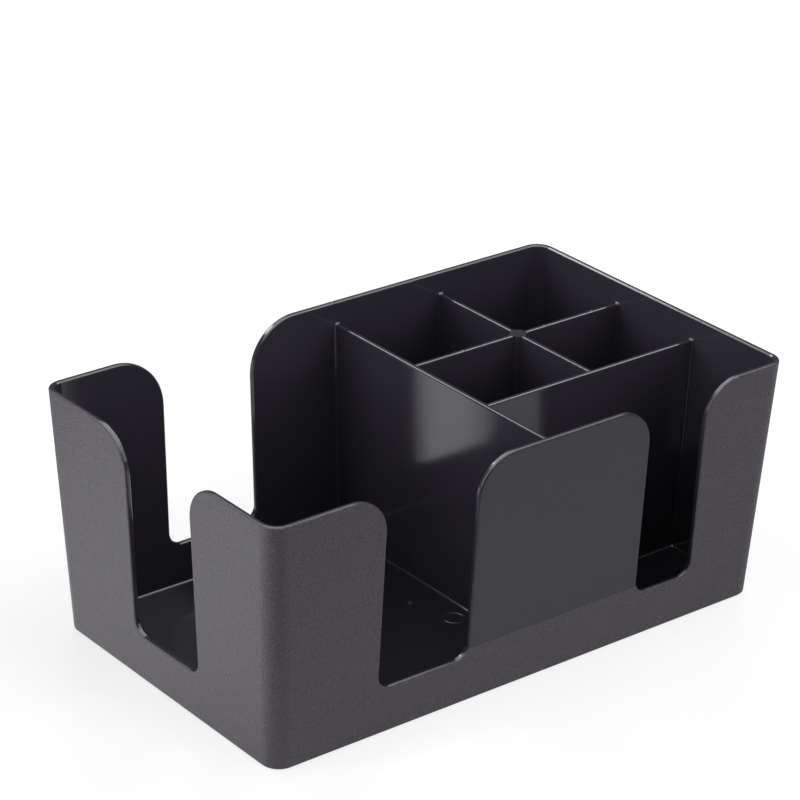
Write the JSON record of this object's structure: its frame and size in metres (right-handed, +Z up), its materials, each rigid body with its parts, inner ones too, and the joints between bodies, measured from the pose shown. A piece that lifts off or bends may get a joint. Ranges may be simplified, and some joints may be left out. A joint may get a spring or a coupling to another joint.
{
  "type": "bar-top napkin and condiment caddy",
  "caption": "Open-topped black plastic caddy with a napkin bay, a long front bay and square cups divided by thin walls, with U-shaped finger cut-outs in its walls.",
  "frame": {"origin": "middle of the base, on the plane that the caddy stands on", "axes": "+X along the length, from the napkin bay towards the cups; +Y from the front wall to the back wall; +Z up"},
  "size_m": [0.241, 0.145, 0.1],
  "materials": {
    "moulded_black": "charcoal black, fine spark texture outside, smoother and semi-gloss inside"
  },
  "bodies": {
    "root": {"caddy_tub": "moulded_black", "napkin_divider": "moulded_black", "front_bay_partition": "moulded_black", "left_cup_divider": "moulded_black", "right_cup_divider": "moulded_black", "front_cup_divider": "moulded_black", "back_cup_divider": "moulded_black", "crossing_post": "moulded_black"}
  },
  "joints": []
}
